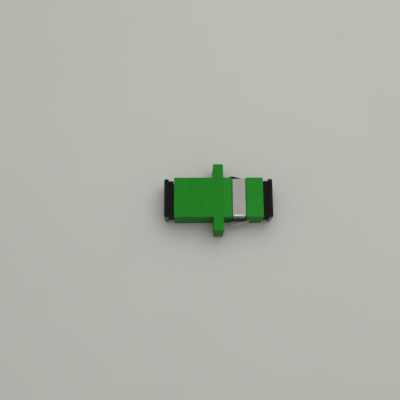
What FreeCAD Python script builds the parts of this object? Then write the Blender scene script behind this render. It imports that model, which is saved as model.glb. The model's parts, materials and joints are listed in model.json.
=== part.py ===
import FreeCAD, Part
import math
import os
import re

import Sketcher

# Simplex SC fibre adapter with a flange, its panel clip and a dust cap in each port.
# X runs along the adapter from port to port, with the clip on the +X half.
# Y runs across it, towards the flange's two ears.
# Z is up. The origin is under the middle of the adapter, on the plane that it lies on.
# Every piece is drawn about the adapter's own axis and then raised by half the body's height.
# All lengths are in millimetres and all angles in degrees.

SIZES = (
    ("body_length", 28.0, "from port face to port face"),
    ("body_width", 12.8, "across the body, without the flange"),
    ("body_height", 9.3, "body and flange"),
    ("body_edge", 0.3, "radius of the body's long outer edges"),
    ("face_edge", 0.2, "radius round each port face"),
    ("flange_thickness", 3.1, "along the adapter"),
    ("flange_corner", 1.0, "radius of the ears' corners"),
    ("panel_face", 1.5, "from the middle to the flange face that meets the panel"),
    ("weld_land", 0.1, "from that face to the seam of the two halves"),
    ("flange_edge", 0.15, "radius round the flange's two faces"),
    ("parting_width", 0.25, "witness line of the mould, along the top of the clip half"),
    ("parting_depth", 0.05, "witness line of the mould, along the top of the clip half"),
    ("hole_pitch", 18.0, "between the two flange screws"),
    ("hole_diameter", 2.4, "flange screw hole"),
    ("ear_end", 2.0, "from the middle of a flange screw hole to the end of its ear"),
    ("port_width", 9.05, "opening for the plug"),
    ("port_wall", 0.925, "above and below the opening for the plug"),
    ("port_leadin", 0.3, "chamfer at the mouth of each port"),
    ("key_width", 2.6, "slot for the plug's key"),
    ("key_length", 4.8, "slot for the plug's key"),
    ("seat_gap", 0.05, "between pieces that sit still in each other"),
    ("plate_side_lip", 0.925, "base plate of a sleeve holder, beyond the port's sides"),
    ("plate_top_lip", 0.375, "base plate of a sleeve holder, beyond the port's top and bottom"),
    ("plate_thickness", 1.2, "base plate of a sleeve holder"),
    ("plate_corner", 0.5, "radius of the base plate's corners"),
    ("barrel_wall", 0.65, "round the sleeve, in a holder's barrel"),
    ("barrel_lip", 1.15, "lip at the barrel's mouth that keeps the sleeve in"),
    ("mouth_room", 0.05, "round a ferrule, in the lip at the barrel's mouth"),
    ("barrel_leadin", 0.4, "chamfer inside and outside the barrel's mouth"),
    ("plug_room", 0.925, "between a latch arm and the port's wall, for the plug's shell"),
    ("arm_thickness", 0.7, "latch arm"),
    ("arm_height", 3.4, "latch arm"),
    ("arm_reach", 9.2, "from the middle to the tip of a latch arm"),
    ("catch_depth", 0.45, "how far a catch stands in from its arm"),
    ("catch_length", 1.2, "catch at the end of a latch arm"),
    ("catch_flat", 0.4, "flat of a catch, before its slope"),
    ("arm_tip", 0.45, "thickness left at the tip of a latch arm"),
    ("arm_root", 0.35, "fillet where a latch arm leaves the base plate"),
    ("sleeve_length", 11.4, "split alignment sleeve"),
    ("sleeve_diameter", 3.2, "outside of the sleeve"),
    ("sleeve_bore", 2.5, "inside of the sleeve"),
    ("sleeve_slot", 0.5, "width of the sleeve's slot"),
    ("clip_thickness", 0.3, "spring steel"),
    ("clip_bend", 0.3, "inside radius of the clip's bends"),
    ("clip_width", 4.0, "strap and legs, along the adapter"),
    ("clip_middle", 6.4, "from the middle of the adapter to the middle of the strap"),
    ("clip_foot", 1.6, "foot turned in under the body, from the leg's outer side"),
    ("groove_margin", 0.32, "between the strap's edge and the groove's edge"),
    ("groove_top", 0.4, "depth of the strap's groove, above and below"),
    ("groove_side", 0.65, "depth of the strap's groove at the sides"),
    ("wing_height", 2.4, "spring wing, up the adapter's side"),
    ("wing_top", 0.15, "upper edge of the wing, above the axis"),
    ("wing_root", 1.15, "from the leg's edge to the centre of the wing's hairpin bend"),
    ("wing_bend", 0.3, "radius of the hairpin bend, to the middle of the steel"),
    ("wing_slope", 15.6, "between the wing and the side of the body"),
    ("panel_room", 2.2, "between the flange and the wings' tips, for the panel"),
    ("tip_length", 1.8, "from the wing's tip back to its knee"),
    ("tip_slope", 4.0, "between the wing's tip and the side of the body"),
    ("tip_corner", 0.4, "radius of the corners at the wing's tip"),
    ("knee_bend", 1.5, "radius at the wing's knee"),
    ("recess_depth", 0.9, "pocket that the wing folds into"),
    ("recess_room", 0.3, "above, below and behind the wing, in its pocket"),
    ("cap_gap", 0.05, "all round the plug of a dust cap"),
    ("collar_gap", 0.25, "between a port's face and the collar of its cap"),
    ("cap_depth", 8.0, "plug of a dust cap, inside the port"),
    ("cap_wall", 0.7, "plug of a dust cap"),
    ("collar_width", 11.3, "collar of a dust cap"),
    ("collar_height", 6.4, "collar of a dust cap"),
    ("collar_length", 1.5, "collar of a dust cap"),
    ("head_width", 12.3, "head of a dust cap"),
    ("head_height", 7.4, "head of a dust cap"),
    ("head_thickness", 1.4, "head of a dust cap"),
    ("head_edge", 0.5, "radius round the outer face of a dust cap's head"),
    ("cap_edge", 0.25, "radius of a dust cap's long edges"),
    ("cut_margin", 1.0, "how far a cutting outline reaches past the piece that it cuts"),
)

# Lengths that follow from those in the sheet. The clip's are measured to its inner side.
SEAM = "(panel_face + weld_land)"
FLANGE_WIDTH = "(hole_pitch + 2 * ear_end)"
PORT_HEIGHT = "(body_height - 2 * port_wall)"
PLATE_WIDTH = "(port_width + 2 * plate_side_lip)"
PLATE_HEIGHT = "(body_height - 2 * port_wall + 2 * plate_top_lip)"
ARM_OUTER = "(port_width / 2 - plug_room)"
SLEEVE_SPACE = "(sleeve_length / 2 + seat_gap)"
GROOVED_WIDTH = "(body_width - 2 * groove_side)"
GROOVED_HEIGHT = "(body_height - 2 * groove_top)"
CLIP_WIDTH = "(%s + 2 * seat_gap)" % GROOVED_WIDTH
CLIP_HEIGHT = "(%s + 2 * seat_gap)" % GROOVED_HEIGHT
WING_TURN = "(clip_middle + clip_width / 2 + wing_root)"
PLUG_WIDTH = "(port_width - 2 * cap_gap)"
PLUG_HEIGHT = "(body_height - 2 * port_wall - 2 * cap_gap)"
CAP_END = "(body_length / 2 + collar_gap + collar_length + head_thickness)"

document = FreeCAD.newDocument("sc_fibre_adapter")
sheet = document.addObject("Spreadsheet::Sheet", "Sizes")
for row, (alias, size, note) in enumerate(SIZES, start=1):
    sheet.set("A%d" % row, alias)
    sheet.set("B%d" % row, str(size))
    sheet.set("C%d" % row, note)
    sheet.setAlias("B%d" % row, alias)
document.recompute()
ALIASES = {alias for alias, size, note in SIZES}


def formula(text):
    """Turn the names of sizes in a formula into references to their cells."""
    def reference(word):
        return "Sizes." + word.group() if word.group() in ALIASES else word.group()
    return re.sub(r"[a-z_]+", reference, text)


def value(text):
    """Work out a formula with the sizes in the sheet."""
    return float(sheet.evalExpression(formula(text)))


def new_body(label):
    """Start a piece that is drawn about the adapter's axis."""
    body = document.addObject("PartDesign::Body", label)
    body.Label = label
    body.setExpression("Placement.Base.z", formula("body_height / 2"))
    return body


def turn_round(body):
    """Turn a piece of the +X half so that it serves the -X half."""
    body.Placement = FreeCAD.Placement(FreeCAD.Vector(), FreeCAD.Rotation(FreeCAD.Vector(0, 0, 1), 180))
    body.setExpression("Placement.Base.z", formula("body_height / 2"))


def datum(body, role):
    """Find an axis or a plane of a body's origin."""
    return next(feature for feature in body.Origin.OriginFeatures if feature.Role == role)


def new_sketch(body, name, plane, offset="0"):
    """Start a sketch on a plane of the body's origin, moved along the plane's normal."""
    sketch = body.newObject("Sketcher::SketchObject", name)
    sketch.AttachmentSupport = [(datum(body, plane), "")]
    sketch.MapMode = "FlatFace"
    sketch.setExpression("AttachmentOffset.Base.z", formula(offset))
    return sketch


def hold(sketch, kind, parts, name, text):
    """Give a sketch a dimension that follows a formula."""
    index = sketch.addConstraint(Sketcher.Constraint(kind, *parts, value(text)))
    sketch.renameConstraint(index, name)
    sketch.setExpression("Constraints." + name, formula(text))


def outline(sketch, corners, name="corner"):
    """Draw a closed outline through corners, each placed by two formulas."""
    places = [FreeCAD.Vector(value(across), value(up), 0) for across, up in corners]
    lines = []
    for index, start in enumerate(places):
        end = places[(index + 1) % len(places)]
        lines.append(sketch.addGeometry(Part.LineSegment(start, end)))
    for index, line in enumerate(lines):
        following = lines[(index + 1) % len(lines)]
        sketch.addConstraint(Sketcher.Constraint("Coincident", line, 2, following, 1))
        across, up = corners[index]
        hold(sketch, "DistanceX", (-1, 1, line, 1), "%s%d_across" % (name, index), across)
        hold(sketch, "DistanceY", (-1, 1, line, 1), "%s%d_up" % (name, index), up)


def rectangle(sketch, width, height, name="corner"):
    """Draw a rectangle about the adapter's axis."""
    right, top = "(%s) / 2" % width, "(%s) / 2" % height
    left, bottom = "-" + right, "-" + top
    outline(sketch, ((left, bottom), (right, bottom), (right, top), (left, top)), name)


def rounded_rectangle(sketch, width, height, radius, name="round"):
    """Draw a rectangle with rounded corners about the adapter's axis."""
    half_width, half_height, bend = value(width) / 2, value(height) / 2, value(radius)
    across, up = half_width - bend, half_height - bend
    sides = []
    for start, end in (((-across, -half_height), (across, -half_height)),
                       ((half_width, -up), (half_width, up)),
                       ((across, half_height), (-across, half_height)),
                       ((-half_width, up), (-half_width, -up))):
        line = Part.LineSegment(FreeCAD.Vector(*start, 0), FreeCAD.Vector(*end, 0))
        sides.append(sketch.addGeometry(line))
    corners = []
    for quarter, place in enumerate(((across, -up), (across, up), (-across, up), (-across, -up))):
        circle = Part.Circle(FreeCAD.Vector(*place, 0), FreeCAD.Vector(0, 0, 1), bend)
        turn = (quarter - 1) * math.pi / 2
        corners.append(sketch.addGeometry(Part.ArcOfCircle(circle, turn, turn + math.pi / 2)))
    for index in range(4):
        following = sides[(index + 1) % 4]
        sketch.addConstraint(Sketcher.Constraint("Tangent", sides[index], 2, corners[index], 1))
        sketch.addConstraint(Sketcher.Constraint("Tangent", corners[index], 2, following, 1))
    for kind, side in zip(("Horizontal", "Vertical", "Horizontal", "Vertical"), sides):
        sketch.addConstraint(Sketcher.Constraint(kind, side))
    for corner in corners[1:]:
        sketch.addConstraint(Sketcher.Constraint("Equal", corners[0], corner))
    sketch.addConstraint(Sketcher.Constraint("Symmetric", corners[0], 3, corners[2], 3, -1, 1))
    hold(sketch, "DistanceX", (sides[3], 1, sides[1], 1), name + "_width", width)
    hold(sketch, "DistanceY", (sides[0], 1, sides[2], 1), name + "_height", height)
    hold(sketch, "Radius", (corners[0],), name + "_radius", radius)


def circle(sketch, diameter, name="diameter", across="0"):
    """Draw a circle on the horizontal through the adapter's axis."""
    centre = FreeCAD.Vector(value(across), 0, 0)
    ring = Part.Circle(centre, FreeCAD.Vector(0, 0, 1), value(diameter) / 2)
    index = sketch.addGeometry(ring)
    sketch.addConstraint(Sketcher.Constraint("PointOnObject", index, 3, -1))
    hold(sketch, "DistanceX", (-1, 1, index, 3), name + "_across", across)
    hold(sketch, "Diameter", (index,), name, diameter)


def pad(body, name, sketch, length):
    """Raise a sketch along its normal."""
    feature = body.newObject("PartDesign::Pad", name)
    feature.Profile = sketch
    feature.setExpression("Length", formula(length))
    document.recompute()
    return feature


def pocket(body, name, sketch, depth, forward):
    """Cut a sketch out of the body, along the sketch's normal if forward and against it if not."""
    before = body.Shape.Volume
    feature = body.newObject("PartDesign::Pocket", name)
    feature.Profile = sketch
    feature.Reversed = forward
    feature.setExpression("Length", formula(depth))
    document.recompute()
    if body.Shape.Volume >= before:
        raise RuntimeError(name + " cuts nothing")
    return feature


def mirror(body, name, feature):
    """Repeat a feature on the other side of the adapter."""
    mirrored = body.newObject("PartDesign::Mirrored", name)
    mirrored.Originals = [feature]
    mirrored.MirrorPlane = (datum(body, "XZ_Plane"), [""])
    body.Tip = mirrored
    document.recompute()
    return mirrored


def round_off(body, name, radius, wanted, kind="PartDesign::Fillet"):
    """Fillet or chamfer the edges of the body that a test picks out."""
    base = body.Tip
    edges = ["Edge%d" % (index + 1) for index, edge in enumerate(base.Shape.Edges) if wanted(edge)]
    feature = body.newObject(kind, name)
    feature.Base = (base, edges)
    feature.setExpression("Radius" if kind.endswith("Fillet") else "Size", formula(radius))
    document.recompute()
    return feature


def near(measure, target):
    """Tell whether two lengths are the same."""
    return abs(measure - target) < 1e-4


def runs_along(edge, axis):
    """Tell whether an edge is straight and runs along the axis 0, 1 or 2."""
    if edge.Degenerated:
        return False
    direction = edge.Vertexes[-1].Point - edge.Vertexes[0].Point
    return edge.Curve.TypeId == "Part::GeomLine" and near(abs(direction[axis]), edge.Length)


def lies_at(edge, axis, place):
    """Tell whether a whole edge lies at one place along an axis, on either side of the middle."""
    return all(near(abs(vertex.Point[axis]), place) for vertex in edge.Vertexes)


def shell(body, start, end):
    """Raise the outside of a housing from one place along the adapter to another."""
    section = new_sketch(body, "section", "YZ_Plane", start)
    rounded_rectangle(section, "body_width", "body_height", "body_edge")
    pad(body, "shell", section, "%s - %s" % (end, start))

    def at_port_face(edge):
        return lies_at(edge, 0, value("body_length / 2"))
    round_off(body, "face_edges", "face_edge", at_port_face)


def cut_key_slot(body, side):
    """Cut the slot for the plug's key through the underside, from a port face inwards."""
    slot = new_sketch(body, "key_slot_outline", "XY_Plane", "-body_height / 2")
    mouth = "%s * body_length / 2" % side
    inner_end = "%s * (body_length / 2 - key_length)" % side
    outline(slot, ((mouth, "-key_width / 2"), (mouth, "key_width / 2"),
                   (inner_end, "key_width / 2"), (inner_end, "-key_width / 2")))
    pocket(body, "key_slot", slot, "body_height / 2", forward=True)


def lead_in(body):
    """Chamfer the mouth of a port."""
    def at_mouth(edge):
        if not lies_at(edge, 0, value("body_length / 2")):
            return False
        beside = lies_at(edge, 1, value("port_width / 2")) and runs_along(edge, 2)
        above = lies_at(edge, 2, value(PORT_HEIGHT + " / 2")) and runs_along(edge, 1)
        return beside or above
    round_off(body, "port_leadin", "port_leadin", at_mouth, "PartDesign::Chamfer")


def flange_housing():
    """Make the moulded half that carries the flange and the pocket for the sleeve holders."""
    body = new_body("flange_housing")
    ears = new_sketch(body, "ears", "YZ_Plane", "panel_face - flange_thickness")
    rounded_rectangle(ears, FLANGE_WIDTH, "body_height", "flange_corner")
    pad(body, "flange", ears, "flange_thickness")
    faces = (value("panel_face"), value("flange_thickness - panel_face"))

    def round_a_face(edge):
        return any(lies_at(edge, 0, face) for face in faces)
    round_off(body, "flange_edges", "flange_edge", round_a_face)
    shell(body, "(-body_length / 2)", SEAM)

    port = new_sketch(body, "port_outline", "YZ_Plane", "-body_length / 2")
    rectangle(port, "port_width", PORT_HEIGHT)
    pocket(body, "port", port, "body_length / 2 - plate_thickness - seat_gap", forward=True)
    seat = new_sketch(body, "holder_seat_outline", "YZ_Plane", SEAM)
    rectangle(seat, PLATE_WIDTH + " + 2 * seat_gap", PLATE_HEIGHT + " + 2 * seat_gap")
    pocket(body, "holder_seat", seat, SEAM + " + plate_thickness + seat_gap", forward=False)
    cut_key_slot(body, "-1")
    lead_in(body)

    holes = new_sketch(body, "screw_hole_outlines", "YZ_Plane", "panel_face")
    circle(holes, "hole_diameter", "near", "-hole_pitch / 2")
    circle(holes, "hole_diameter", "far", "hole_pitch / 2")
    pocket(body, "screw_holes", holes, "flange_thickness", forward=False)
    return body


def cut_wing_recess(body):
    """Cut the pocket behind each wing, which has a ledge above it and another below."""
    recess = new_sketch(body, "wing_recess_outline", "YZ_Plane", SEAM)
    floor, outside = "(body_width / 2 - recess_depth)", "(body_width / 2 + cut_margin)"
    low, high = "(wing_top - wing_height - recess_room)", "(wing_top + recess_room)"
    for name, side in (("near", "-"), ("far", "")):
        outline(recess, ((side + floor, low), (side + outside, low),
                         (side + outside, high), (side + floor, high)), name)
    end = WING_TURN + " + wing_bend + clip_thickness / 2 + recess_room"
    pocket(body, "wing_recess", recess, "%s - %s" % (end, SEAM), forward=True)


def clip_housing():
    """Make the moulded half that closes the holder seat and carries the clip."""
    body = new_body("clip_housing")
    shell(body, SEAM, "(body_length / 2)")
    spigot = new_sketch(body, "spigot_outline", "YZ_Plane", "plate_thickness + seat_gap")
    rectangle(spigot, PLATE_WIDTH, PLATE_HEIGHT)
    pad(body, "spigot", spigot, SEAM + " - plate_thickness - seat_gap")
    witness = new_sketch(body, "parting_line_outline", "XY_Plane", "body_height / 2")
    start, end = SEAM, "(body_length / 2 - face_edge)"
    outline(witness, ((start, "-parting_width / 2"), (end, "-parting_width / 2"),
                      (end, "parting_width / 2"), (start, "parting_width / 2")))
    pocket(body, "parting_line", witness, "parting_depth", forward=False)

    groove_end = "clip_middle + clip_width / 2 + groove_margin"
    groove = new_sketch(body, "clip_groove_outline", "YZ_Plane", groove_end)
    rectangle(groove, "body_width + 2 * cut_margin", "body_height + 2 * cut_margin", "outer")
    rounded_rectangle(groove, GROOVED_WIDTH, GROOVED_HEIGHT, "clip_bend")
    pocket(body, "clip_groove", groove, "clip_width + 2 * groove_margin", forward=False)
    cut_wing_recess(body)

    port = new_sketch(body, "port_outline", "YZ_Plane", "body_length / 2")
    rectangle(port, "port_width", PORT_HEIGHT)
    pocket(body, "port", port, "body_length / 2", forward=False)
    cut_key_slot(body, "1")
    lead_in(body)
    return body


def sleeve_holder(label):
    """Make a holder: a base plate with the barrel for the sleeve and two latch arms for the plug."""
    body = new_body(label)
    plate = new_sketch(body, "plate_outline", "YZ_Plane")
    rounded_rectangle(plate, PLATE_WIDTH, PLATE_HEIGHT, "plate_corner")
    pad(body, "plate", plate, "plate_thickness")
    profile = new_sketch(body, "barrel_profile", "XY_Plane")
    mouth = "sleeve_bore / 2 + mouth_room"
    outside = "sleeve_diameter / 2 + seat_gap + barrel_wall"
    reach = SLEEVE_SPACE + " + barrel_lip"
    outline(profile, (("0", mouth), (reach + " - barrel_leadin", mouth),
                      (reach, mouth + " + barrel_leadin"), (reach, outside + " - barrel_leadin"),
                      (reach + " - barrel_leadin", outside), ("0", outside)))
    barrel = body.newObject("PartDesign::Revolution", "barrel")
    barrel.Profile = profile
    barrel.ReferenceAxis = (datum(body, "X_Axis"), [""])
    barrel.Angle = 360
    document.recompute()

    arm = new_sketch(body, "arm_profile", "XY_Plane", "-arm_height / 2")
    inner, root = ARM_OUTER + " - arm_thickness", "plate_thickness / 2"
    catch, point = "arm_reach - catch_length", inner + " - catch_depth"
    outline(arm, ((root, inner), (catch, inner), (catch, point), (catch + " + catch_flat", point),
                  ("arm_reach", ARM_OUTER + " - arm_tip"), ("arm_reach", ARM_OUTER), (root, ARM_OUTER)))
    mirror(body, "other_arm", pad(body, "arm", arm, "arm_height"))

    def at_arm_root(edge):
        at_plate = lies_at(edge, 0, value("plate_thickness")) and runs_along(edge, 2)
        return at_plate and any(lies_at(edge, 1, value(side)) for side in (inner, ARM_OUTER))
    round_off(body, "arm_roots", "arm_root", at_arm_root)

    bore = new_sketch(body, "sleeve_space_outline", "YZ_Plane")
    circle(bore, "sleeve_diameter + 2 * seat_gap")
    pocket(body, "sleeve_space", bore, SLEEVE_SPACE, forward=True)
    return body


def alignment_sleeve():
    """Make the ceramic sleeve, split along its length, that lines up the two ferrules."""
    body = new_body("alignment_sleeve")
    ring = new_sketch(body, "ring", "YZ_Plane", "-sleeve_length / 2")
    circle(ring, "sleeve_diameter", "outside")
    circle(ring, "sleeve_bore", "inside")
    pad(body, "tube", ring, "sleeve_length")
    slot = new_sketch(body, "slot_outline", "YZ_Plane", "-sleeve_length / 2")
    outline(slot, (("-sleeve_slot / 2", "0"), ("sleeve_slot / 2", "0"),
                   ("sleeve_slot / 2", "sleeve_diameter"), ("-sleeve_slot / 2", "sleeve_diameter")))
    pocket(body, "slot", slot, "sleeve_length", forward=True)
    return body


def dust_cap(label):
    """Make a cap: a hollow plug, a collar just outside the port and a head to pull."""
    body = new_body(label)
    plug = new_sketch(body, "plug_outline", "YZ_Plane", "body_length / 2 - cap_depth")
    rounded_rectangle(plug, PLUG_WIDTH, PLUG_HEIGHT, "cap_edge")
    pad(body, "plug", plug, "cap_depth + collar_gap")
    collar = new_sketch(body, "collar_outline", "YZ_Plane", "body_length / 2 + collar_gap")
    rounded_rectangle(collar, "collar_width", "collar_height", "cap_edge")
    pad(body, "collar", collar, "collar_length")
    head = new_sketch(body, "head_outline", "YZ_Plane", CAP_END + " - head_thickness")
    rounded_rectangle(head, "head_width", "head_height", "cap_edge")
    pad(body, "head", head, "head_thickness")

    def at_end(edge):
        return lies_at(edge, 0, value(CAP_END))
    round_off(body, "end_edges", "head_edge", at_end)

    hollow = new_sketch(body, "hollow_outline", "YZ_Plane", "body_length / 2 - cap_depth")
    rectangle(hollow, PLUG_WIDTH + " - 2 * cap_wall", PLUG_HEIGHT + " - 2 * cap_wall")
    pocket(body, "hollow", hollow, "cap_depth + collar_gap + collar_length", forward=True)
    return body


def wing_path(body, leg):
    """Draw the middle line of a wing: out of the leg, round a hairpin bend and back past a knee."""
    path = new_sketch(body, "wing_path", "XY_Plane", "wing_top - wing_height / 2")
    tip_place = "panel_face + panel_room"
    knee_place = tip_place + " + tip_length"
    slope, tip_slope = math.radians(value("wing_slope")), math.radians(value("tip_slope"))
    bend, knee_bend = value("wing_bend"), value("knee_bend")
    upward, quarter = FreeCAD.Vector(0, 0, 1), math.pi / 2

    def towards(angle):
        return FreeCAD.Vector(math.sin(angle), math.cos(angle), 0)

    def along(start, place, angle):
        run = start.x - value(place)
        return start + FreeCAD.Vector(-run, run * math.tan(angle), 0)
    root_start = FreeCAD.Vector(value("clip_middle"), value(leg), 0)
    root_end = FreeCAD.Vector(value(WING_TURN), value(leg), 0)
    turn_centre = root_end + FreeCAD.Vector(0, bend, 0)
    run_start = turn_centre + towards(slope) * bend
    run_end = along(run_start, knee_place, slope)
    knee_centre = run_end - towards(slope) * knee_bend
    end_start = knee_centre + towards(tip_slope) * knee_bend
    tip = along(end_start, tip_place, tip_slope)

    root = path.addGeometry(Part.LineSegment(root_start, root_end))
    turn_circle = Part.Circle(turn_centre, upward, bend)
    turn = path.addGeometry(Part.ArcOfCircle(turn_circle, -quarter, quarter - slope))
    run = path.addGeometry(Part.LineSegment(run_start, run_end))
    knee_circle = Part.Circle(knee_centre, upward, knee_bend)
    knee = path.addGeometry(Part.ArcOfCircle(knee_circle, quarter - slope, quarter - tip_slope))
    end = path.addGeometry(Part.LineSegment(end_start, tip))

    for first, first_end, second in ((root, 2, turn), (turn, 2, run), (run, 2, knee), (knee, 2, end)):
        path.addConstraint(Sketcher.Constraint("Tangent", first, first_end, second, 1))
    path.addConstraint(Sketcher.Constraint("Horizontal", root))
    hold(path, "DistanceX", (-1, 1, root, 1), "root_across", "clip_middle")
    hold(path, "DistanceY", (-1, 1, root, 1), "leg_plane", leg)
    hold(path, "DistanceX", (-1, 1, turn, 3), "turn_place", WING_TURN)
    hold(path, "Radius", (turn,), "turn_radius", "wing_bend")
    hold(path, "Radius", (knee,), "knee_radius", "knee_bend")
    hold(path, "DistanceX", (-1, 1, run, 2), "knee_place", knee_place)
    hold(path, "DistanceX", (-1, 1, end, 2), "tip_place", tip_place)
    hold(path, "Angle", (run, 2, -1, 1), "run_slope", "wing_slope")
    hold(path, "Angle", (end, 2, -1, 1), "end_slope", "tip_slope")
    return path


def panel_clip():
    """Make the clip: one strip of spring steel folded over the body, with a wing on each leg."""
    body = new_body("panel_clip")
    strip = new_sketch(body, "strip_outline", "YZ_Plane", "clip_middle - clip_width / 2")
    rounded_rectangle(strip, CLIP_WIDTH + " + 2 * clip_thickness", CLIP_HEIGHT + " + 2 * clip_thickness",
                      "clip_bend + clip_thickness", "outer")
    rounded_rectangle(strip, CLIP_WIDTH, CLIP_HEIGHT, "clip_bend", "inner")
    pad(body, "strip", strip, "clip_width")
    opening = new_sketch(body, "opening_outline", "YZ_Plane", "clip_middle - clip_width / 2")
    foot_end = "(%s / 2 + clip_thickness - clip_foot)" % CLIP_WIDTH
    outline(opening, (("-" + foot_end, "-body_height"), (foot_end, "-body_height"),
                      (foot_end, "0"), ("-" + foot_end, "0")))
    pocket(body, "opening", opening, "clip_width", forward=True)

    section = new_sketch(body, "wing_section", "YZ_Plane", "clip_middle")
    inner_side, bottom = CLIP_WIDTH + " / 2", "wing_top - wing_height"
    outer_side = inner_side + " + clip_thickness"
    outline(section, ((inner_side, bottom), (outer_side, bottom),
                      (outer_side, "wing_top"), (inner_side, "wing_top")))
    wing = body.newObject("PartDesign::AdditivePipe", "wing")
    wing.Profile = section
    wing.Spine = (wing_path(body, inner_side + " + clip_thickness / 2"), [])
    document.recompute()
    mirror(body, "other_wing", wing)

    def at_tip(edge):
        beyond_strap = max(vertex.X for vertex in edge.Vertexes) < value("clip_middle - clip_width / 2")
        return beyond_strap and near(edge.Length, value("clip_thickness"))
    round_off(body, "tip_corners", "tip_corner", at_tip)
    return body


left_holder, right_holder = sleeve_holder("left_sleeve_holder"), sleeve_holder("right_sleeve_holder")
left_cap, right_cap = dust_cap("left_dust_cap"), dust_cap("right_dust_cap")
turn_round(left_holder)
turn_round(left_cap)
pieces = [flange_housing(), clip_housing(), left_holder, right_holder,
          alignment_sleeve(), panel_clip(), left_cap, right_cap]
document.recompute()

for item in document.Objects:
    if "Invalid" in item.State or "Error" in item.State:
        raise RuntimeError(item.Label + " did not recompute: " + str(item.State))
for piece in pieces:
    if piece.Shape.isNull() or not piece.Shape.isValid() or len(piece.Shape.Solids) != 1:
        raise RuntimeError(piece.Label + " is not one valid solid")
os.makedirs("parts", exist_ok=True)
for piece in pieces:
    piece.Shape.exportStep(os.path.join("parts", piece.Label + ".step"))
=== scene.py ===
"""Looks of a simplex SC fibre adapter: green housing, spring steel clip and black dust caps."""

import json
import math

import bmesh
import bpy
from bpy.props import FloatProperty, FloatVectorProperty, PointerProperty
from bpy.types import Operator, Panel, PropertyGroup
from mathutils import Matrix, Vector


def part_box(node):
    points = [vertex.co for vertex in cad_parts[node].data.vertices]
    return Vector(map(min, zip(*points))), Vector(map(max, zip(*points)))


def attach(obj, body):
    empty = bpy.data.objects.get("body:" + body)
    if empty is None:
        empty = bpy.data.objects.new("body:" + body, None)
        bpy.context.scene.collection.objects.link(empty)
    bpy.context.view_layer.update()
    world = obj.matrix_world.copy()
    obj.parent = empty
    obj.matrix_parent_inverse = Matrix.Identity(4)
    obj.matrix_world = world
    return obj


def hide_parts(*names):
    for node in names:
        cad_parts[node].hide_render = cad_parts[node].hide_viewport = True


bl_info = {
    "name": "Fibre Adapter",
    "version": (1, 0, 0),
    "blender": (4, 5, 0),
    "location": "3D View > Sidebar > Adapter",
    "description": "Dresses a fibre adapter: housing, panel clip, sleeve, holders and dust caps",
    "category": "Object",
}

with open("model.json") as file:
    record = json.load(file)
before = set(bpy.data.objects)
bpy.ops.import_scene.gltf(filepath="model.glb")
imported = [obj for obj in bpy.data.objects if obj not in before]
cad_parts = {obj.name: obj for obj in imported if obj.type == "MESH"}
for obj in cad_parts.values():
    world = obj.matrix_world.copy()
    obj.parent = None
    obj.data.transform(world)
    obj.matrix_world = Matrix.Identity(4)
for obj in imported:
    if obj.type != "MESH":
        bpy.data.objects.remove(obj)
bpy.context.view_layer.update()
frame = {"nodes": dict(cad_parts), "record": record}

MM = 0.001
# Corners that are nearer together than this are one.
WELD = 0.0005 * MM
# Faces that turn by less than this are one flat face, and by more than the other meet at an edge.
FLAT = math.radians(0.5)
SHARP = math.radians(30)
# An edge is rounded where both its faces are wider than this many times the radius.
ROOM = 2.2
# A strip's cut edges are narrower than this many times its thickness, and square to X or Z.
CUT_WIDTH = 1.2
SQUARE = 0.9999
# The upper edge of the far wing lies beyond this Y, and its normals have more Z than this.
FAR_WING = 6.2 * MM
UPWARD = 0.3
# The polish on a dust cap's head ends over this length.
POLISH_END = 0.05 * MM
# A noise texture's values lie mostly between these.
LOW, HIGH = 0.3, 0.7
# The camera is almost overhead, tipped 14 degrees towards -Y and turned a little on its own axis.
CAMERA_PLACE = Vector((-0.00809, -0.04492, 0.18620))
CAMERA_RIGHT = Vector((0.99992, -0.00607, 0.01109))
CAMERA_BACK = Vector((-0.01222, -0.24127, 0.97038))
# The room is darkest where a direction's Y is below the first, and brightest above the second.
DARK_SIDE, BRIGHT_SIDE = -0.83, 0.16


def linear(hex_colour):
    """Turn an sRGB colour such as "#2B7A2C" to linear light."""
    channels = [int(hex_colour[place:place + 2], 16) / 255 for place in (1, 3, 5)]
    return tuple(c / 12.92 if c <= 0.04045 else ((c + 0.055) / 1.055) ** 2.4 for c in channels)


def colour(name, description, hex_colour):
    """Make the property of a colour."""
    return FloatVectorProperty(name=name, description=description, subtype="COLOR", size=3,
                               min=0, max=1, default=linear(hex_colour))


def length(name, description, millimetres):
    """Make the property of a length."""
    return FloatProperty(name=name, description=description, unit="LENGTH", min=0, precision=5,
                         default=millimetres * MM)


def position(name, description, millimetres):
    """Make the property of a lamp's place."""
    return FloatVectorProperty(name=name, description=description, subtype="XYZ", size=3,
                               unit="LENGTH", precision=5,
                               default=[part * MM for part in millimetres])


def share(name, description, part):
    """Make the property of a share, from none at 0 to all at 1."""
    return FloatProperty(name=name, description=description, subtype="FACTOR", min=0, max=1,
                         default=part)


def strength(name, description, level):
    """Make the property of the strength of the room's light."""
    return FloatProperty(name=name, description=description, min=0, default=level)


def power(name, description, watts):
    """Make the property of a lamp's power."""
    return FloatProperty(name=name, description=description, subtype="POWER", unit="POWER", min=0,
                         default=watts)


def rgba(channels, shade=1.0):
    """Turn three linear channels, made lighter or darker, into a socket's colour."""
    return (*(min(1.0, channel * shade) for channel in channels), 1.0)


class HousingSettings(PropertyGroup):
    """Both moulded halves of the housing."""
    flange_green: colour("Flange half", "Pigmented PBT of the half with the flange", "#19791A")
    clip_green: colour("Clip half", "Pigmented PBT of the half with the clip, another batch",
                       "#207D21")
    rubbed_green: colour("Rubbed green", "Paler PBT on edges that have been rubbed", "#3E9440")
    wear: share("Wear", "How far rubbing turns the edges pale", 0.12)
    flow: share("Flow marks", "Part that flow marks have in the uneven tone, beside clouds", 0.4)
    edge: length("Edge", "Radius that the mould leaves on the sharp edges", 0.07)
    grain: length("Grain", "Spacing of the spark-eroded texture of the mould", 0.16)


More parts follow.
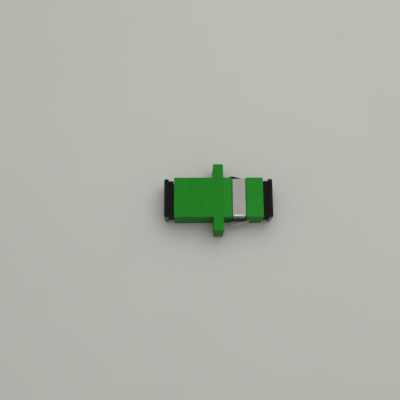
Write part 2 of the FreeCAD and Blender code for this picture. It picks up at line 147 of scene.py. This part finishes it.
class ClipSettings(PropertyGroup):
    """The folded panel clip, and where shade is painted on it."""
    steel: colour("Steel", "Cold-rolled spring steel", "#D6D1CF")
    sheared: colour("Sheared", "Duller steel on the sheared edges of the strip", "#B0ABA0")
    strip: length("Strip", "Thickness of the strip", 0.3)
    edge: length("Edge", "Radius on the sheared edges of the strip", 0.045)
    rolling: length("Rolling lines", "Spacing of the lines that rolling leaves along the strip",
                    0.09)
    patchy: share("Patches", "Part that patches have in the uneven tone, beside lines", 0.45)
    sheared_rough: share("Sheared roughness", "What shearing adds to the faces' roughness", 0.2)
    # Painted shade: the legs behind the wings, the faces turned to the body and the far wing's
    # upper edge are darkened towards this colour.
    painted_shade_colour: colour("Stain", "Dried oil on the legs, where the wings fold against them", "#352F27")
    most_painted_shade: share("Most oil", "How far the thickest oil hides the steel", 0.85)
    painted_shade_rough: share("Oil roughness", "What full oil adds to the steel's roughness", 0.5)
    # Where the painted shade lies on the legs: out from the middle, and up from the bottom.
    leg: length("Leg", "From the middle out to where the oil on the legs thins", 6.15)
    wing: length("Wing", "From the middle out to where the oil on the legs ends", 6.4)
    fully_shaded: length("Soaked", "Height up to which the legs are stained, before patches", 6.1)
    clean: length("Clean", "Height from which the legs are clean, before patches", 7.3)
    ragged: length("Ragged", "Most that patches in the steel lower both heights", 1.5)
    # Painted shade down the far side of the strip, from the first distance below out to the
    # second.
    dust_and_painted_shade: share("Film", "How far the film down the far side hides the steel", 0.25)
    far_shade_start: length("Film start", "From the middle out to the film on the far side", 5.7)
    far_shade_full: length("Full film", "From the middle out to the whole film on the far side", 5.95)


class CapSettings(PropertyGroup):
    """The two dust caps."""
    black: colour("Black", "Carbon-black polyethylene of the caps", "#070709")
    dusty: colour("Dusty", "Grey of dust, of rubbed edges and of chalky plastic", "#4A4A4C")
    dust: share("Dust", "How grey the dustiest places are", 0.12)
    wear: share("Wear", "How grey rubbing turns the edges", 0.06)
    chalk: share("Chalk", "How grey the collar and the plug are as moulded", 0.045)
    edge: length("Edge", "Radius on the edges of the collar and the head", 0.09)
    grain: length("Grain", "Spacing of the fine texture of the mould", 0.2)
    head: length("Head", "Thickness of the head, which handling has polished", 1.4)
    matt: share("Matt", "What the collar and the plug add to the head's roughness", 0.55)


class HolderSettings(PropertyGroup):
    """The two sleeve holders."""
    natural: colour("Natural", "Unpigmented plastic of the holders", "#E3DECF")
    edge: length("Edge", "Radius that the mould leaves on the sharp edges", 0.05)
    grain: length("Grain", "Spacing of the fine texture of the mould", 0.15)


class SleeveSettings(PropertyGroup):
    """The split alignment sleeve."""
    ceramic: colour("Ceramic", "Ground zirconia", "#EFEADD")
    edge: length("Edge", "Radius on the ground edges", 0.05)
    rings: length("Rings", "Spacing of the rings that grinding leaves", 0.08)


class StageSettings(PropertyGroup):
    """Table top, light and camera."""
    table: length("Table", "Radius of the table top", 500)
    floor: colour("Floor", "Pale grey table top", "#BBBCB6")
    wall: colour("Wall", "Pale wall behind the table", "#BFC0BA")
    shade: share("Near wall", "Brightness of the wall on the near side", 0.4)
    white: colour("White", "Warm white of the light from the room", "#FFFDFA")
    room: strength("Room light", "Strength of the light from the far side", 0.57)
    near: strength("Near light", "Strength of the light from the near side", 0.20)
    overhead: position("Overhead", "Place of the soft light overhead", (42, 75, 304))
    overhead_size: length("Overhead size", "Side of the soft light overhead", 340)
    key: power("Key light", "Power of the soft light overhead", 0.70)
    near_side: position("Near side", "Place of the near light that only gloss shows",
                        (30, -380, 360))
    near_size: length("Near size", "Side of the near light that only gloss shows", 400)
    gleam: power("Gleam", "Power of the near light that only gloss shows", 0.8)
    focal: FloatProperty(name="Focal length", description="Of the camera, in millimetres",
                         min=1, default=52.52)


class AdapterSettings(PropertyGroup):
    """Every size and colour that a user would change."""
    housing: PointerProperty(type=HousingSettings)
    clip: PointerProperty(type=ClipSettings)
    caps: PointerProperty(type=CapSettings)
    holders: PointerProperty(type=HolderSettings)
    sleeve: PointerProperty(type=SleeveSettings)
    stage: PointerProperty(type=StageSettings)


def new_material(name):
    """Start a node material that has no nodes yet."""
    material = bpy.data.materials.new(name)
    material.use_nodes = True
    material.node_tree.nodes.clear()
    return material


def add(tree, kind, inputs, **settings):
    """Add a node with its settings, and set each input to a number or link it to a socket.

    An input goes by its name, or by its number where several have one name: in a Mix node the
    factor is 0, the two numbers are 2 and 3 and the two colours are 6 and 7.
    """
    node = tree.nodes.new(kind)
    for name, setting in settings.items():
        setattr(node, name, setting)
    for name, given in inputs.items():
        if isinstance(given, bpy.types.NodeSocket):
            tree.links.new(given, node.inputs[name])
        else:
            node.inputs[name].default_value = given
    return node


def repeats(millimetres):
    """Give a texture's scale from the size of its pattern."""
    return 1 / (millimetres * MM)


def moulded_pbt(name, green, flow_size, settings):
    """Moulded PBT with pigment: satin, finely grained, uneven in tone, paler where rubbed."""
    material = new_material(name)
    tree = material.node_tree
    place = add(tree, "ShaderNodeTexCoord", {}).outputs["Object"]
    # Pigment is spread unevenly over about 5 mm.
    cloud = add(tree, "ShaderNodeTexNoise", {"Vector": place, "Scale": repeats(5), "Detail": 3.0,
                                             "Roughness": 0.55})
    # Flow marks are left by the front of the melt, and are long the way that it spread.
    streaks = add(tree, "ShaderNodeMapping", {
        "Vector": place, "Scale": tuple(repeats(size) for size in flow_size)})
    flow = add(tree, "ShaderNodeTexNoise", {"Vector": streaks.outputs[0], "Scale": 1.0,
                                            "Detail": 2.0})
    tone = add(tree, "ShaderNodeMix", {0: settings.flow, 2: cloud.outputs["Fac"],
                                       3: flow.outputs["Fac"]})
    shade = add(tree, "ShaderNodeMapRange", {"Value": tone.outputs[0], "From Min": LOW,
                                             "From Max": HIGH})
    pigment = add(tree, "ShaderNodeMix", {0: shade.outputs[0], 6: rgba(green, 0.92),
                                          7: rgba(green, 1.08)}, data_type="RGBA")
    rubbed = add(tree, "ShaderNodeAttribute", {}, attribute_name="rubbed")
    wear = add(tree, "ShaderNodeMath", {0: rubbed.outputs["Fac"], 1: settings.wear},
               operation="MULTIPLY")
    worn = add(tree, "ShaderNodeMix", {0: wear.outputs[0], 6: pigment.outputs[2],
                                       7: rgba(settings.rubbed_green)}, data_type="RGBA")
    # Spark erosion leaves pits about 0.05 mm apart, which are drawn coarser so that they show.
    grain = add(tree, "ShaderNodeTexNoise", {"Vector": place, "Scale": 1 / settings.grain,
                                             "Detail": 2.0})
    bump = add(tree, "ShaderNodeBump", {"Height": grain.outputs["Fac"], "Strength": 0.35,
                                        "Distance": 0.01 * MM})
    rough = add(tree, "ShaderNodeMapRange", {"Value": cloud.outputs["Fac"], "From Min": LOW,
                                             "From Max": HIGH, "To Min": 0.5, "To Max": 0.63})
    plastic = add(tree, "ShaderNodeBsdfPrincipled", {
        "Base Color": worn.outputs[2], "Roughness": rough.outputs[0], "IOR": 1.5,
        "Specular IOR Level": 0.13, "Normal": bump.outputs[0]})
    add(tree, "ShaderNodeOutputMaterial", {"Surface": plastic.outputs[0]})
    return material


def rolled_spring_steel(settings):
    """Cold-rolled spring steel: lines of rolling along it, dull sheared edges, and painted shade
    in dark brown.
    """
    material = new_material("rolled_spring_steel")
    tree = material.node_tree
    place = add(tree, "ShaderNodeTexCoord", {}).outputs["Object"]
    # The strip is folded about X, so a line along it keeps its X on every face. The lines of
    # rolling are some hundredths of a millimetre apart, and are drawn coarser so that they show.
    along = add(tree, "ShaderNodeMapping", {"Vector": place, "Scale": (
        1 / settings.rolling, repeats(6), repeats(6))})
    lines = add(tree, "ShaderNodeTexNoise", {"Vector": along.outputs[0], "Scale": 1.0,
                                             "Detail": 3.0, "Roughness": 0.6})
    patches = add(tree, "ShaderNodeTexNoise", {"Vector": place, "Scale": repeats(2.5),
                                               "Detail": 4.0})
    tone = add(tree, "ShaderNodeMix", {0: settings.patchy, 2: lines.outputs["Fac"],
                                       3: patches.outputs["Fac"]})
    shade = add(tree, "ShaderNodeMapRange", {"Value": tone.outputs[0], "From Min": LOW,
                                             "From Max": HIGH})
    metal = add(tree, "ShaderNodeMix", {0: shade.outputs[0], 6: rgba(settings.steel, 0.9),
                                        7: rgba(settings.steel, 1.08)}, data_type="RGBA")
    rubbed = add(tree, "ShaderNodeAttribute", {}, attribute_name="rubbed")
    cut = add(tree, "ShaderNodeMix", {0: rubbed.outputs["Fac"], 6: metal.outputs[2],
                                      7: rgba(settings.sheared)}, data_type="RGBA")
    # Painted shade, low on the legs where the wings stand in front of them; the legs stand nearer
    # to the middle than the wings.
    at = add(tree, "ShaderNodeSeparateXYZ", {"Vector": place}).outputs
    out = add(tree, "ShaderNodeMath", {0: at["Y"]}, operation="ABSOLUTE")
    on_leg = add(tree, "ShaderNodeMapRange", {"Value": out.outputs[0], "From Min": settings.leg,
                                              "From Max": settings.wing, "To Min": 1.0,
                                              "To Max": 0.0})
    ragged = add(tree, "ShaderNodeMath", {0: patches.outputs["Fac"], 1: settings.ragged,
                                          2: at["Z"]}, operation="MULTIPLY_ADD")
    low = add(tree, "ShaderNodeMapRange", {"Value": ragged.outputs[0],
                                           "From Min": settings.fully_shaded,
                                           "From Max": settings.clean, "To Min": 1.0,
                                           "To Max": 0.0})
    # Shade is also painted where the face attribute says, and as a painted shadow down the far
    # side.
    painted_shade_faces = add(tree, "ShaderNodeAttribute", {}, attribute_name="painted_shade_faces")
    leg_and_face_shade = add(tree, "ShaderNodeMath", {0: on_leg.outputs[0], 1: low.outputs[0],
                                         2: painted_shade_faces.outputs["Fac"]}, operation="MULTIPLY_ADD")
    dust_and_painted_shade = add(tree, "ShaderNodeMapRange", {"Value": at["Y"], "From Min": settings.far_shade_start,
                                            "From Max": settings.far_shade_full, "To Min": 0.0,
                                            "To Max": settings.dust_and_painted_shade})
    both = add(tree, "ShaderNodeMath", {0: leg_and_face_shade.outputs[0], 1: dust_and_painted_shade.outputs[0]})
    painted_shade = add(tree, "ShaderNodeMath", {0: both.outputs[0], 1: settings.most_painted_shade},
              operation="MINIMUM")
    # The steel is darkened towards the brown of the painted shade.
    darkened = add(tree, "ShaderNodeMix", {0: painted_shade.outputs[0], 6: cut.outputs[2],
                                          7: rgba(settings.painted_shade_colour)}, data_type="RGBA")
    # Rolled faces are the smoothest, sheared edges are rougher, and faces under the painted shade
    # are the roughest.
    smooth = add(tree, "ShaderNodeMapRange", {"Value": lines.outputs["Fac"], "From Min": LOW,
                                              "From Max": HIGH, "To Min": 0.24, "To Max": 0.36})
    duller = add(tree, "ShaderNodeMath", {0: rubbed.outputs["Fac"], 1: settings.sheared_rough,
                                          2: smooth.outputs[0]}, operation="MULTIPLY_ADD")
    rough = add(tree, "ShaderNodeMath", {0: painted_shade.outputs[0], 1: settings.painted_shade_rough,
                                         2: duller.outputs[0]}, operation="MULTIPLY_ADD")
    bump = add(tree, "ShaderNodeBump", {"Height": lines.outputs["Fac"], "Strength": 0.15,
                                        "Distance": 0.004 * MM})
    steel = add(tree, "ShaderNodeBsdfPrincipled", {
        "Base Color": darkened.outputs[2], "Metallic": 1.0, "Roughness": rough.outputs[0],
        "Normal": bump.outputs[0]})
    add(tree, "ShaderNodeOutputMaterial", {"Surface": steel.outputs[0]})
    return material


def moulded_polyethylene(settings):
    """Moulded black polyethylene: polished head, matt collar, dust and rubbed edges."""
    material = new_material("moulded_black_polyethylene")
    tree = material.node_tree
    place = add(tree, "ShaderNodeTexCoord", {}).outputs["Object"]
    dust = add(tree, "ShaderNodeTexNoise", {"Vector": place, "Scale": repeats(1.1), "Detail": 5.0,
                                            "Roughness": 0.65})
    dust_and_painted_shade = add(tree, "ShaderNodeMapRange", {"Value": dust.outputs["Fac"], "From Min": 0.42,
                                            "From Max": 0.75, "To Min": 0.0,
                                            "To Max": settings.dust})
    # The heads end the adapter at both ends, and what lies further in is as the mould left it.
    at = add(tree, "ShaderNodeSeparateXYZ", {"Vector": place}).outputs
    out = add(tree, "ShaderNodeMath", {0: at["X"]}, operation="ABSOLUTE")
    head_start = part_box("right_dust_cap")[1].x - settings.head
    matt = add(tree, "ShaderNodeMapRange", {"Value": out.outputs[0],
                                            "From Min": head_start - POLISH_END,
                                            "From Max": head_start, "To Min": 1.0,
                                            "To Max": 0.0})
    rubbed = add(tree, "ShaderNodeAttribute", {}, attribute_name="rubbed")
    wear = add(tree, "ShaderNodeMath", {0: rubbed.outputs["Fac"], 1: settings.wear,
                                        2: dust_and_painted_shade.outputs[0]}, operation="MULTIPLY_ADD")
    chalky = add(tree, "ShaderNodeMath", {0: matt.outputs[0], 1: settings.chalk,
                                          2: wear.outputs[0]}, operation="MULTIPLY_ADD")
    worn = add(tree, "ShaderNodeMix", {0: chalky.outputs[0], 6: rgba(settings.black),
                                       7: rgba(settings.dusty)}, data_type="RGBA")
    # The mould's own texture is finer than this, and is drawn coarser so that it shows.
    grain = add(tree, "ShaderNodeTexNoise", {"Vector": place, "Scale": 1 / settings.grain,
                                             "Detail": 2.0})
    bump = add(tree, "ShaderNodeBump", {"Height": grain.outputs["Fac"], "Strength": 0.4,
                                        "Distance": 0.012 * MM})
    satin = add(tree, "ShaderNodeMapRange", {"Value": dust.outputs["Fac"], "From Min": LOW,
                                             "From Max": HIGH, "To Min": 0.2, "To Max": 0.32})
    rough = add(tree, "ShaderNodeMath", {0: matt.outputs[0], 1: settings.matt,
                                         2: satin.outputs[0]}, operation="MULTIPLY_ADD")
    plastic = add(tree, "ShaderNodeBsdfPrincipled", {
        "Base Color": worn.outputs[2], "Roughness": rough.outputs[0], "IOR": 1.51,
        "Specular IOR Level": 0.18, "Normal": bump.outputs[0]})
    add(tree, "ShaderNodeOutputMaterial", {"Surface": plastic.outputs[0]})
    return material


def natural_plastic(settings):
    """Unpigmented moulded plastic: milky, slightly glossy, finely grained."""
    material = new_material("moulded_natural_plastic")
    tree = material.node_tree
    place = add(tree, "ShaderNodeTexCoord", {}).outputs["Object"]
    cloud = add(tree, "ShaderNodeTexNoise", {"Vector": place, "Scale": repeats(3), "Detail": 3.0})
    milk = add(tree, "ShaderNodeMix", {0: cloud.outputs["Fac"], 6: rgba(settings.natural, 0.92),
                                       7: rgba(settings.natural, 1.06)}, data_type="RGBA")
    # The mould's own texture is finer than this, and is drawn coarser so that it shows.
    grain = add(tree, "ShaderNodeTexNoise", {"Vector": place, "Scale": 1 / settings.grain,
                                             "Detail": 2.0})
    bump = add(tree, "ShaderNodeBump", {"Height": grain.outputs["Fac"], "Strength": 0.25,
                                        "Distance": 0.006 * MM})
    rough = add(tree, "ShaderNodeMapRange", {"Value": cloud.outputs["Fac"], "To Min": 0.32,
                                             "To Max": 0.46})
    plastic = add(tree, "ShaderNodeBsdfPrincipled", {
        "Base Color": milk.outputs[2], "Roughness": rough.outputs[0], "IOR": 1.53,
        "Normal": bump.outputs[0]})
    add(tree, "ShaderNodeOutputMaterial", {"Surface": plastic.outputs[0]})
    return material


def ground_zirconia(settings):
    """Ground zirconia: a hard, bright ceramic with faint rings left by the grinding wheel."""
    material = new_material("ground_zirconia")
    tree = material.node_tree
    place = add(tree, "ShaderNodeTexCoord", {}).outputs["Object"]
    # The wheel runs round the sleeve, so a ring keeps its X. The rings are finer than this, and
    # are drawn coarser so that they show.
    round_about = add(tree, "ShaderNodeMapping", {"Vector": place, "Scale": (
        1 / settings.rings, repeats(5), repeats(5))})
    rings = add(tree, "ShaderNodeTexNoise", {"Vector": round_about.outputs[0], "Scale": 1.0,
                                             "Detail": 2.0})
    body = add(tree, "ShaderNodeMix", {0: rings.outputs["Fac"], 6: rgba(settings.ceramic, 0.95),
                                       7: rgba(settings.ceramic, 1.03)}, data_type="RGBA")
    rough = add(tree, "ShaderNodeMapRange", {"Value": rings.outputs["Fac"], "To Min": 0.1,
                                             "To Max": 0.24})
    bump = add(tree, "ShaderNodeBump", {"Height": rings.outputs["Fac"], "Strength": 0.15,
                                        "Distance": 0.002 * MM})
    ceramic = add(tree, "ShaderNodeBsdfPrincipled", {
        "Base Color": body.outputs[2], "Roughness": rough.outputs[0], "IOR": 2.15,
        "Normal": bump.outputs[0]})
    add(tree, "ShaderNodeOutputMaterial", {"Surface": ceramic.outputs[0]})
    return material


def matt_laminate(settings):
    """Matt laminate of the table top: nearly plain, with a very slight mottle."""
    material = new_material("matt_laminate")
    tree = material.node_tree
    place = add(tree, "ShaderNodeTexCoord", {}).outputs["Object"]
    mottle = add(tree, "ShaderNodeTexNoise", {"Vector": place, "Scale": repeats(40),
                                              "Detail": 3.0})
    top = add(tree, "ShaderNodeMix", {0: mottle.outputs["Fac"], 6: rgba(settings.floor, 0.97),
                                      7: rgba(settings.floor, 1.03)}, data_type="RGBA")
    laminate = add(tree, "ShaderNodeBsdfPrincipled", {
        "Base Color": top.outputs[2], "Roughness": 0.75, "IOR": 1.5})
    add(tree, "ShaderNodeOutputMaterial", {"Surface": laminate.outputs[0]})
    return material


def wide_enough(edge, width):
    """Tell whether both faces at an edge leave room to round it."""
    return all(face.calc_area() > ROOM * width * edge.calc_length() for face in edge.link_faces)


def is_narrow(face, width):
    """Tell whether a face, however long or bent its outline, is narrower than a width."""
    return 2 * face.calc_area() < width * face.calc_perimeter()


def is_cut(face, strip):
    """Tell whether a face is the cut edge of a folded strip."""
    squareness = max(abs(face.normal.x), abs(face.normal.z))
    return is_narrow(face, CUT_WIDTH * strip) and squareness > SQUARE


def gets_painted_shade(face):
    """Tell whether shade is painted on a face: turned to the body, or on the far wing's upper
    edge.
    """
    on_top = face.center.y > FAR_WING and face.normal.z > UPWARD
    return face.normal.y * face.center.y < 0 or on_top


def dress(context, node, name, material, width, strip=0.0):
    """Make a piece from a CAD node: its triangles joined, its sharp edges rounded by a width.

    Its rounded edges, and the cut edges of a piece folded from a strip, are marked as rubbed.
    """
    record = frame["record"]
    body = next(body for body, nodes in record["behaviour"]["bodies"].items() if node in nodes)
    shape = bmesh.new()
    shape.from_mesh(frame["nodes"][node].data)
    bmesh.ops.remove_doubles(shape, verts=shape.verts, dist=WELD)
    bmesh.ops.dissolve_limit(shape, angle_limit=FLAT, verts=shape.verts, edges=shape.edges)
    sharp = [edge for edge in shape.edges
             if edge.is_manifold and edge.is_convex and edge.calc_face_angle() > SHARP
             and wide_enough(edge, width)]
    if not sharp:
        raise RuntimeError(node + " has no edge to round")
    bmesh.ops.bevel(shape, geom=sharp, offset=width, offset_type="OFFSET", segments=2,
                    profile=0.5, affect="EDGES", clamp_overlap=False, material=-1)
    rubbed = shape.faces.layers.float.new("rubbed")
    for face in shape.faces:
        face[rubbed] = float(is_narrow(face, width) or is_cut(face, strip))
    # Rounding may push a corner out by a hair, so each one is brought back into the node's box.
    low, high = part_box(node)
    for vertex in shape.verts:
        vertex.co = [min(max(place, start), end)
                     for place, start, end in zip(vertex.co, low, high)]
    mesh = bpy.data.meshes.new(name)
    shape.to_mesh(mesh)
    shape.free()
    mesh.shade_smooth()
    mesh.set_sharp_from_angle(angle=SHARP)
    mesh.materials.clear()
    mesh.materials.append(material)
    piece = bpy.data.objects.new(name, mesh)
    context.scene.collection.objects.link(piece)
    piece.modifiers.new("Flat faces", "WEIGHTED_NORMAL").keep_sharp = True
    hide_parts(node)
    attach(piece, body)
    return piece


class ADAPTER_OT_housing(Operator):
    """Dress the two moulded halves of the housing"""
    bl_idname = "adapter.housing"
    bl_label = "Housing"

    def execute(self, context):
        settings = context.scene.fibre_adapter.housing
        # Flow marks are 1.4 mm apart and 14 mm long. They run along the flange (Y) on one half,
        # and along the body (X) on the other.
        flange_pbt = moulded_pbt("moulded_green_pbt", settings.flange_green, (1.4, 14, 14),
                                 settings)
        clip_pbt = moulded_pbt("moulded_light_green_pbt", settings.clip_green, (14, 1.4, 14),
                               settings)
        dress(context, "flange_housing", "flange_half", flange_pbt, settings.edge)
        dress(context, "clip_housing", "clip_half", clip_pbt, settings.edge)
        return {"FINISHED"}


class ADAPTER_OT_clip(Operator):
    """Dress the folded panel clip"""
    bl_idname = "adapter.clip"
    bl_label = "Panel clip"

    def execute(self, context):
        settings = context.scene.fibre_adapter.clip
        clip = dress(context, "panel_clip", "folded_clip", rolled_spring_steel(settings),
                     settings.edge, settings.strip)
        # Faces turned to the body, and the far wing's upper edge, are marked for painted shade.
        painted_shade_faces = clip.data.attributes.new("painted_shade_faces", "FLOAT", "FACE")
        for face, mark in zip(clip.data.polygons, painted_shade_faces.data):
            mark.value = float(gets_painted_shade(face))
        return {"FINISHED"}


class ADAPTER_OT_caps(Operator):
    """Dress the two dust caps"""
    bl_idname = "adapter.caps"
    bl_label = "Dust caps"

    def execute(self, context):
        settings = context.scene.fibre_adapter.caps
        material = moulded_polyethylene(settings)
        dress(context, "left_dust_cap", "left_cap_moulding", material, settings.edge)
        dress(context, "right_dust_cap", "right_cap_moulding", material, settings.edge)
        return {"FINISHED"}


class ADAPTER_OT_holders(Operator):
    """Dress the two sleeve holders"""
    bl_idname = "adapter.holders"
    bl_label = "Sleeve holders"

    def execute(self, context):
        settings = context.scene.fibre_adapter.holders
        material = natural_plastic(settings)
        dress(context, "left_sleeve_holder", "left_holder", material, settings.edge)
        dress(context, "right_sleeve_holder", "right_holder", material, settings.edge)
        return {"FINISHED"}


class ADAPTER_OT_sleeve(Operator):
    """Dress the split alignment sleeve"""
    bl_idname = "adapter.sleeve"
    bl_label = "Alignment sleeve"

    def execute(self, context):
        settings = context.scene.fibre_adapter.sleeve
        dress(context, "alignment_sleeve", "split_sleeve", ground_zirconia(settings),
              settings.edge)
        return {"FINISHED"}


def soft_light(context, name, place, size, watts, in_gloss):
    """Hang a square light that faces the adapter, and shows in gloss alone or all but there."""
    lamp = bpy.data.lights.new(name, "AREA")
    lamp.shape, lamp.size, lamp.energy = "SQUARE", size, watts
    light = bpy.data.objects.new(name, lamp)
    light.location = place
    light.rotation_euler = Vector(place).to_track_quat("Z", "Y").to_euler()
    light.visible_glossy, light.visible_diffuse = in_gloss, not in_gloss
    context.scene.collection.objects.link(light)


def room_light(context, settings):
    """Light the adapter from all sides but less from the near one (-Y), and show a pale wall."""
    world = bpy.data.worlds.new("pale_room")
    world.use_nodes = True
    tree = world.node_tree
    tree.nodes.clear()
    towards = add(tree, "ShaderNodeTexCoord", {}).outputs["Generated"]
    across = add(tree, "ShaderNodeSeparateXYZ", {"Vector": towards}).outputs["Y"]
    level = add(tree, "ShaderNodeMapRange", {
        "Value": across, "From Min": DARK_SIDE, "From Max": BRIGHT_SIDE,
        "To Min": settings.near, "To Max": settings.room})
    room = add(tree, "ShaderNodeBackground", {"Color": rgba(settings.white),
                                              "Strength": level.outputs[0]})
    shade = add(tree, "ShaderNodeMapRange", {
        "Value": across, "From Min": DARK_SIDE, "From Max": BRIGHT_SIDE,
        "To Min": settings.shade, "To Max": 1.0})
    wall = add(tree, "ShaderNodeBackground", {"Color": rgba(settings.wall),
                                              "Strength": shade.outputs[0]})
    rays = add(tree, "ShaderNodeLightPath", {}).outputs
    seen = add(tree, "ShaderNodeMath", {0: rays["Is Camera Ray"], 1: rays["Is Glossy Ray"]})
    shown = add(tree, "ShaderNodeMath", {0: seen.outputs[0], 1: rays["Is Transmission Ray"]})
    mixed = add(tree, "ShaderNodeMixShader", {0: shown.outputs[0], 1: room.outputs[0],
                                              2: wall.outputs[0]})
    add(tree, "ShaderNodeOutputWorld", {"Surface": mixed.outputs[0]})
    context.scene.world = world


class ADAPTER_OT_stage(Operator):
    """Make the table top, the light and the camera"""
    bl_idname = "adapter.stage"
    bl_label = "Stage"

    def execute(self, context):
        settings = context.scene.fibre_adapter.stage
        table = bmesh.new()
        bmesh.ops.create_circle(table, cap_ends=True, segments=128, radius=settings.table)
        mesh = bpy.data.meshes.new("table_top")
        table.to_mesh(mesh)
        table.free()
        mesh.materials.append(matt_laminate(settings))
        floor = bpy.data.objects.new("table_top", mesh)
        context.scene.collection.objects.link(floor)

        soft_light(context, "overhead", settings.overhead, settings.overhead_size, settings.key,
                   in_gloss=False)
        soft_light(context, "near_side", settings.near_side, settings.near_size, settings.gleam,
                   in_gloss=True)
        room_light(context, settings)
        lens = bpy.data.cameras.new("camera")
        lens.lens, lens.sensor_width, lens.clip_start = settings.focal, 36.0, 1 * MM
        camera = bpy.data.objects.new("camera", lens)
        camera_up = CAMERA_BACK.cross(CAMERA_RIGHT)
        turn = Matrix((CAMERA_RIGHT, camera_up, CAMERA_BACK)).transposed()
        camera.matrix_world = Matrix.Translation(CAMERA_PLACE) @ turn.to_4x4()
        context.scene.collection.objects.link(camera)
        context.scene.camera = camera
        context.scene.view_settings.view_transform = "Standard"
        return {"FINISHED"}


class VIEW3D_PT_fibre_adapter(Panel):
    """Sidebar panel that lists the pieces and their settings"""
    bl_label = "Fibre Adapter"
    bl_idname = "VIEW3D_PT_fibre_adapter"
    bl_space_type = "VIEW_3D"
    bl_region_type = "UI"
    bl_category = "Adapter"

    def draw(self, context):
        settings = context.scene.fibre_adapter
        for step, group in STEPS:
            box = self.layout.box()
            box.operator(step.bl_idname)
            for name in getattr(settings, group).__annotations__:
                box.prop(getattr(settings, group), name)


STEPS = ((ADAPTER_OT_housing, "housing"), (ADAPTER_OT_clip, "clip"), (ADAPTER_OT_caps, "caps"),
         (ADAPTER_OT_holders, "holders"), (ADAPTER_OT_sleeve, "sleeve"),
         (ADAPTER_OT_stage, "stage"))
CLASSES = (HousingSettings, ClipSettings, CapSettings, HolderSettings, SleeveSettings,
           StageSettings, AdapterSettings, *(step for step, group in STEPS),
           VIEW3D_PT_fibre_adapter)


def register():
    """Register the classes and give the scene its settings."""
    for item in CLASSES:
        bpy.utils.register_class(item)
    bpy.types.Scene.fibre_adapter = PointerProperty(type=AdapterSettings)


def unregister():
    """Take the settings and the classes away again."""
    del bpy.types.Scene.fibre_adapter
    for item in reversed(CLASSES):
        bpy.utils.unregister_class(item)


def main():
    """Make every piece and the stage."""
    register()
    bpy.ops.adapter.housing()
    bpy.ops.adapter.clip()
    bpy.ops.adapter.caps()
    bpy.ops.adapter.holders()
    bpy.ops.adapter.sleeve()
    bpy.ops.adapter.stage()


if __name__ == "__main__":
    main()
